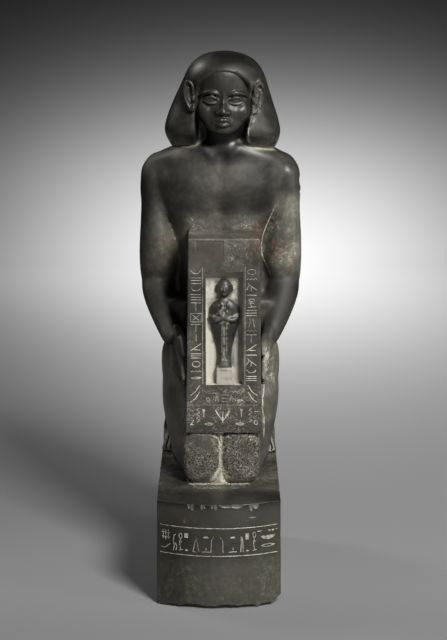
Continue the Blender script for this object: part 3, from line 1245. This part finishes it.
def headSolid():
    obj = wigSolid()
    merged(obj, faceSolid())
    for side in sides:
        merged(obj, earSolid(side))
    pivot = Vector((head["middle"], 0, head["pivot"]))
    turn = rotation(head["tilt"], "Y")
    for vert in obj.data.vertices:
        vert.co = turn @ (vert.co - pivot) + pivot + Vector((head["shift"], 0, 0))
    return obj


print("head")
merged(statue, headSolid())


god = {
    "voxel": 0.8, "rounds": 2,
    "x": 3.5, "back": -29.5, "top": 296.0, "head": 17.6, "feet": 212.5, "thick": 8.0,
    "body": [
        (0, -2, -2, 7.3, 9, 2.6), (0, -1, 3, 7.2, 9.5, 2.4), (0, 0, 9, 7.5, 6.5, 2.3),
        (0, 0, 19, 8.6, 7.0, 2.2), (0, 0, 27, 10.6, 7.6, 2.2), (0, 0, 36, 13.0, 8.4, 2.2),
        (0, 0, 46, 15.1, 8.8, 2.2), (0, 0, 55.5, 14.7, 8.2, 2.2), (0, 0, 61, 11.6, 6.6, 2.1),
        (0, 0, 64.5, 6.4, 5, 2),
    ],
    "foreArm": [
        (13, 4, 48.5, 2.8, 2.8), (8, 0.1, 45, 2.5, 2.7), (-0.5, -1.0, 48, 2.1, 2.4),
        (-4.4, -0.8, 52.5, 2.6, 2.6),
    ],
    "staff": [(2.2, -7.0, 8), (2.2, -7.4, 19), (2.2, -8.0, 27), (2.2, -8.8, 36), (2.2, -9.2, 46)],
    "staffTop": [(2.2, -0.6, 49), (3.4, -0.4, 64)],
    "block": (7.4, 7.2),
    # half widths of the outline from the bottom up, with z first; the niche behind it is pale
    "outline": [
        (212, 0), (213, 8.0), (231, 9.0), (240, 11.1), (249, 13.5), (258, 15.5), (269, 15.1), (274, 12),
        (278, 7.2), (280, 6.6), (284, 8.6), (291, 8.2), (295, 5.5), (296.5, 0),
    ],
}


def godSolid():
    bm = bmesh.new()
    x, back, feet = god["x"], god["back"], god["feet"]
    chin, front = god["top"] - god["head"], god["back"] - god["thick"]
    loft(bm, shifted(god["body"], x, back, feet), axis=up)
    egg(bm, (x, back - 5, chin + 7.4), (6.0, 5.7, 7.9))
    egg(bm, (x, back - 3.6, chin + 10.4), (6.9, 6.2, 7.1), (0.2, 0, 0))
    strand(bm, [(x, back - 10.2, chin + 10.4), (x, back - 11.2, chin + 6.2)], [0.6, 1.1], count=8)
    lips = [(-2.2, -9.7, 3.8), (0, -10.5, 3.6), (2.2, -9.7, 3.8)]
    strand(bm, shifted(lips, x, back, chin), [0.4, 0.8, 0.4], count=8)
    for side in sides:
        egg(bm, (x + side * 6.8, back - 3.2, chin + 8.4), (2.0, 2.4, 3.6))
        egg(bm, (x + side * 2.6, back - 9.8, chin + 8.8), (1.5, 0.9, 0.8), detail=2)
        brow = [(x + side * 1.2, back - 10.2, chin + 10.6), (x + side * 4.2, back - 9.2, chin + 10.8)]
        strand(bm, brow, [0.5, 0.5], count=8)
        loft(bm, shifted(god["foreArm"], x, front, feet, side), count=14)
        strand(bm, shifted(god["staff"], x, back, feet, side), [0.85] * 5, count=8)
        strand(bm, shifted(god["staffTop"], x, front, feet, side), [0.8, 0.8], count=8)
    boxed(bm, *god["block"], front - 2, back + 1, shrine["nicheBottom"] - 1, feet + 0.5, x)
    return remeshed(newObject("god", bm, [stoneSkin]), god["voxel"], god["rounds"], 0.4)


print("god")
merged(shrineSolid, godSolid())


print("block")
merged(statue, pillarSolid())
merged(statue, shrineSolid)
merged(statue, plinthSolid)
statue.name = "statue"


def hollows(mesh):  # points along the edges where the surface turns inwards
    bm = bmesh.new()
    bm.from_mesh(mesh)
    bm.normal_update()
    points = []
    for edge in bm.edges:
        if len(edge.link_faces) == 2 and edge.calc_face_angle_signed(0) < -0.5:
            points.append((edge.verts[0].co + edge.verts[1].co) / 2)
            points.append(edge.verts[0].co.copy())
    bm.free()
    return points


def nicheMark(places):  # pale on the niche's walls, but not on the god
    x, y, z = places.T
    front, back = shrine["front"], shrine["front"] + shrine["nicheDepth"]
    across = np.abs(x - god["x"])
    inside = (across < shrine["nicheHalf"] + 0.8) & (y > front + 1.2) & (y < back + 3)
    inside &= (z > shrine["nicheBottom"] - 0.8) & (z < shrine["nicheTop"] + 0.8)
    inside &= (x < god["x"] + 16.4) | (y > back - 0.6)
    wide = np.interp(z, *zip(*god["outline"]))
    stand = inside & (z < god["feet"])
    return np.where(stand & (across < 9), 0.7, inside & (stand | (across > wide)))


def rubbedMark(places):  # the parts of the god that stand out furthest
    x, y, z = places.T
    across, staffX = np.abs(x - god["x"]), god["staff"][0][0]
    proud = np.clip((god["back"] - god["thick"] - 0.3 - y) / 6, 0, 1)
    staffs = (np.abs(across - staffX) < 0.7) & (y < god["back"] - 6.9)
    staffs &= (z > god["feet"] + 8) & (z < god["feet"] + 46)
    return np.maximum(proud, staffs) * boxMask(places, ((-15, 22), (-42.5, -20), (214, 282)), 1)


def finished(obj):
    mesh = obj.data
    places = vertexValues(obj)
    deep = hollows(mesh)
    near = kdtree.KDTree(len(deep))
    for i, point in enumerate(deep):
        near.insert(point, i)
    near.balance()
    away = np.array([near.find(vert.co)[2] for vert in mesh.vertices])
    reach = 1.0 + 1.6 * boxMask(places, ((-60, 70), (-60, 60), (402, 450)), 4)  # wider round the neck
    fields = {"crease": np.exp(-((away / reach) ** 2))}
    fields.update(niche=nicheMark(places), rubbed=rubbedMark(places))
    for name in ("shade", "fill"):
        fields[name] = shading(places, stone[name + "Places"])
    for name in ("rough", "dust", "rust", "streaky", "matte", "vein", "calm"):
        fields[name] = strongest(places, stone[name + "Places"])
    for name, values in fields.items():
        mesh.attributes.new(name, "FLOAT", "POINT").data.foreach_set("value", values.astype(np.float32))
    low, high = (np.array(corner) * 1000 for corner in cadBox)
    moveVertices(obj, np.clip(places, low + 0.02, high - 0.02))  # never outside the CAD model's box
    mesh.transform(Matrix.Scale(0.001, 4))
    mesh.polygons.foreach_set("use_smooth", [True] * len(mesh.polygons))
    mesh.set_sharp_from_angle(angle=math.radians(38))
    print("triangles", sum(len(p.vertices) - 2 for p in mesh.polygons))


finished(statue)
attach(statue, "root")
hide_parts("naophorous_statue")


backdrop = {
    # the glow is laid out at this depth and spreads from the eye point onto the wall behind
    "eye": (0.00287, -1.7638, 0.6373), "depth": 1.6, "wall": 4.6, "half": 5.0,
    "glow": 0.95, "middle": (0.065, 1.6, 0.03), "reach": (0.42, 0.8, 0.23), "climb": 0.12, "backGlow": 0.008,
    "leftNarrower": 0.4, "leftDarker": 0.22, "frontDarker": 0.16,
    "floor": (0.22, 0.22, 0.22, 1), "back": (0.016, 0.016, 0.016, 1),
    "sweep": [  # y and z from the front edge of the floor up the wall, counted from the wall where it curves
        (-1.5, 0), (-0.6, 0.02), (-0.2, 0.15), (-0.03, 0.5), (0, 1), (0, 3), (0, 6),
    ],
}


def stageMaterial():
    made, shader, start = material("backdrop")
    x, y, z = start.add("TexCoord", out=3).parts()
    eyeX, eyeY, eyeZ = backdrop["eye"]
    depth = backdrop["depth"]
    scale = (depth - eyeY) / (y - eyeY).most(depth - eyeY)
    x, y, z = (x - eyeX) * scale + eyeX, y.least(depth), (z - eyeZ) * scale + eyeZ
    shape = zip((x, y, z), backdrop["middle"], backdrop["reach"])
    across, along, over = ((place - middle) / reach for place, middle, reach in shape)
    # the glow ends sooner on the left of the floor
    left = 1 + backdrop["leftNarrower"] * (1 - y.ramp(0.6, 1.6)) * (1 - x.ramp(-0.02, 0.15))
    fall = across * across * left * left + along * along + over * over
    climb = z.ramp(0.0, backdrop["climb"])
    glow = (0 - fall).exponent() * backdrop["glow"] + climb * backdrop["backGlow"]
    tone = start.blended(backdrop["floor"], backdrop["back"], climb)
    leftTone, frontTone = backdrop["leftDarker"], backdrop["frontDarker"]
    sideways = (1 - leftTone) + leftTone * x.ramp(-0.3, 0.05).most(1 - y.ramp(0.0, 0.3))
    tone = tone.scaled(sideways * ((1 - frontTone) + frontTone * y.ramp(-0.2, -0.03)))
    fed(shader, Base_Color=tone, Emission_Color=start.blended((0, 0, 0, 1), (1, 1, 1, 1), glow))
    for name, value in (("Emission Strength", 1.0), ("Roughness", 1.0), ("Specular IOR Level", 0.1)):
        shader.inputs[name].default_value = value
    return made


def stageObjects():  # a floor that curves up into a wall
    bm = bmesh.new()
    wall, half = backdrop["wall"], backdrop["half"]
    rows = [(-4, 0), (-2, 0), (0, 0)] + [(wall + y, z) for y, z in backdrop["sweep"]]
    smooth = spread(rows, 6)
    left, right = ([bm.verts.new((side * half, y, z)) for y, z in smooth] for side in sides)
    for i in range(len(smooth) - 1):
        bm.faces.new((left[i], right[i], right[i + 1], left[i + 1])).smooth = True
    newObject("sweep", bm, [stageMaterial()])


print("stage and light")
stageObjects()

lights = {  # bearing from the front and height in degrees, distance, size, power, height of the aim
    "key": {"bearing": 28, "height": 40, "away": 2.0, "size": (0.5, 0.6), "power": 62, "aim": 0.25},
    "side": {"bearing": 68, "height": 12, "away": 1.6, "size": (0.3, 0.9), "power": 5, "aim": 0.25},
    "hair": {"bearing": -118, "height": 36, "away": 1.5, "size": (0.35, 0.35), "power": 6, "aim": 0.45},
    "front": {"bearing": -12, "height": 14, "away": 2.4, "size": (0.8, 0.8), "power": 1.5, "aim": 0.25},
}
for name, light in lights.items():
    data = bpy.data.lights.new(name, "AREA")
    data.shape, data.size, data.size_y, data.energy = "RECTANGLE", *light["size"], light["power"]
    lamp = bpy.data.objects.new(name, data)
    bearing, height = math.radians(light["bearing"]), math.radians(light["height"])
    level = math.cos(height)
    line = Vector((math.sin(bearing) * level, -math.cos(bearing) * level, math.sin(height)))
    lamp.location = up * light["aim"] + line * light["away"]
    lamp.rotation_euler = line.to_track_quat("Z", "Y").to_euler()
    bpy.context.scene.collection.objects.link(lamp)

room = {"colour": (0.8, 0.8, 0.8, 1), "strength": 0.03}
world = bpy.data.worlds.new("room")
world.use_nodes = True
background = world.node_tree.nodes["Background"]
background.inputs["Color"].default_value = room["colour"]
background.inputs["Strength"].default_value = room["strength"]
bpy.context.scene.world = world
bpy.context.scene.view_settings.view_transform = "Standard"

view = {"place": backdrop["eye"], "pitch": 77.598, "lens": 107.54, "film": 36}
cameraData = bpy.data.cameras.new("camera")
cameraData.lens, cameraData.sensor_width = view["lens"], view["film"]
camera = bpy.data.objects.new("camera", cameraData)
camera.location = view["place"]
camera.rotation_euler = (math.radians(view["pitch"]), 0, 0)
bpy.context.scene.collection.objects.link(camera)
bpy.context.scene.camera = camera
